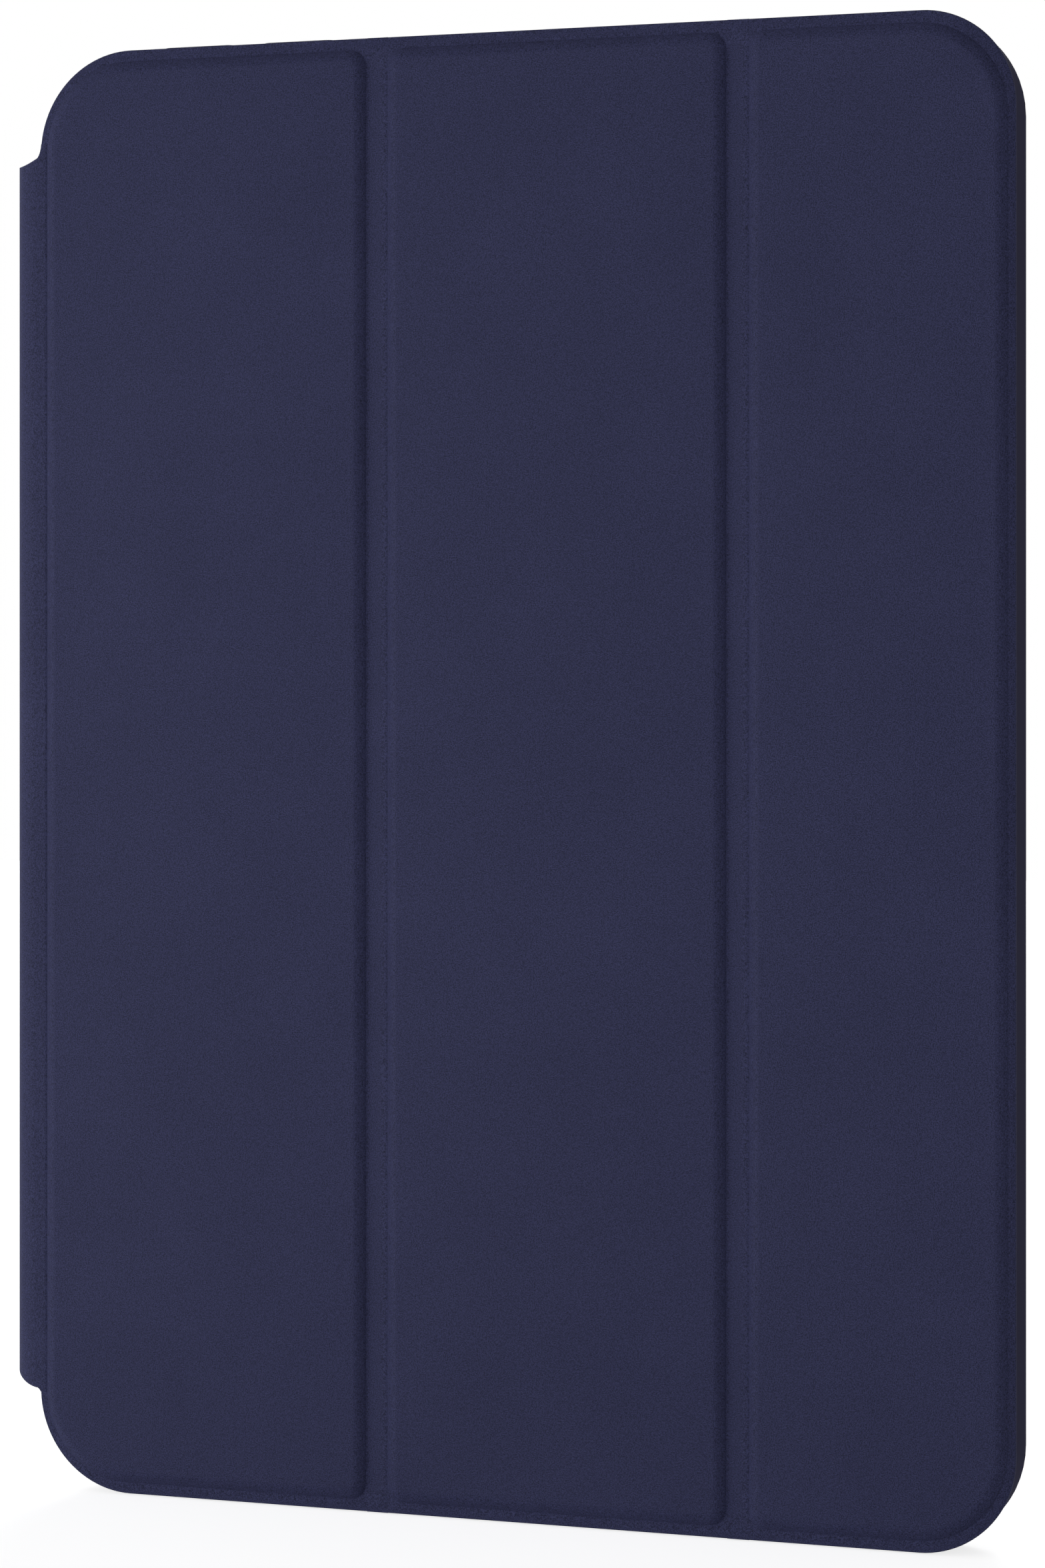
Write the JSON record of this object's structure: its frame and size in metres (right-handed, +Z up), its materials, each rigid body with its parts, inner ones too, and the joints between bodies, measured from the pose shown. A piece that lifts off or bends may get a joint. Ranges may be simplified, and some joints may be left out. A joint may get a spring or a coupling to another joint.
{
  "type": "tablet folio case",
  "caption": "Book-style tablet folio case with a folding raised-panel leather cover, a rounded spine and a moulded tray with sprung volume keys.",
  "frame": {"origin": "middle of the closed case's footprint, on the surface that it stands on", "axes": "+X to the right along the closed cover, +Y back through the case, +Z up along the spine"},
  "size_m": [0.1442, 0.0118, 0.1988],
  "materials": {
    "cover_leather": "embossed matt navy synthetic leather",
    "lining": "brushed microfibre",
    "liner": "brushed microfibre",
    "tray_moulding": "fine matt soft moulding",
    "back_plate": "fine texture",
    "stiffener": "plain sheet",
    "board": "dense grey board",
    "magnet": "nickel plated"
  },
  "bodies": {
    "tray": {"tray_rim": "tray_moulding", "tray_floor": "back_plate", "tray_liner": "liner", "back_skin": "cover_leather", "spine_back_hinge_skin": "cover_leather"},
    "volume_up": {"volume_up_button": "tray_moulding"},
    "volume_down": {"volume_down_button": "tray_moulding"},
    "spine": {"spine_skin": "cover_leather", "spine_stiffener": "stiffener", "spine_lining": "lining"},
    "panel_1": {"panel_1_skin": "cover_leather", "panel_1_board": "board", "panel_1_lining": "lining", "stand_magnets": "magnet", "spine_front_hinge_skin": "cover_leather", "spine_front_hinge_lining": "lining", "fold_1_skin": "cover_leather", "fold_1_lining": "lining"},
    "panel_2": {"panel_2_skin": "cover_leather", "panel_2_board": "board", "panel_2_lining": "lining", "fold_2_skin": "cover_leather", "fold_2_lining": "lining"},
    "panel_3": {"panel_3_skin": "cover_leather", "panel_3_board": "board", "panel_3_lining": "lining", "closure_magnets": "magnet", "sleep_magnet": "magnet"}
  },
  "joints": [
    {"name": "spine_back_hinge", "type": "hinge", "parent": "tray", "child": "spine", "pos_m": [-0.0669, 0.0062, 0.0992], "axis": [0, 0, -1], "range_deg": [0, 179], "deforming": ["spine_back_hinge_skin"]},
    {"name": "spine_front_hinge", "type": "hinge", "parent": "spine", "child": "panel_1", "pos_m": [-0.067, -0.0056, 0.0992], "axis": [0, 0, -1], "range_deg": [0, 179], "deforming": ["spine_front_hinge_skin", "spine_front_hinge_lining"]},
    {"name": "fold_1", "type": "hinge", "parent": "panel_1", "child": "panel_2", "pos_m": [-0.01642, -0.0059, 0.0992], "axis": [0, 0, 1], "range_deg": [-175, 0], "deforming": ["fold_1_skin", "fold_1_lining"]},
    {"name": "fold_2", "type": "hinge", "parent": "panel_2", "child": "panel_3", "pos_m": [0.03478, -0.0059, 0.0992], "axis": [0, 0, -1], "range_deg": [0, 175], "deforming": ["fold_2_skin", "fold_2_lining"]},
    {"name": "volume_up_press", "type": "slide", "parent": "tray", "child": "volume_up", "axis": [0, 0, -1], "range_m": [0, 0.0004], "stiffness_N_per_m": 1500, "springref_m": -0.0001},
    {"name": "volume_down_press", "type": "slide", "parent": "tray", "child": "volume_down", "axis": [0, 0, -1], "range_m": [0, 0.0004], "stiffness_N_per_m": 1500, "springref_m": -0.0001}
  ]
}
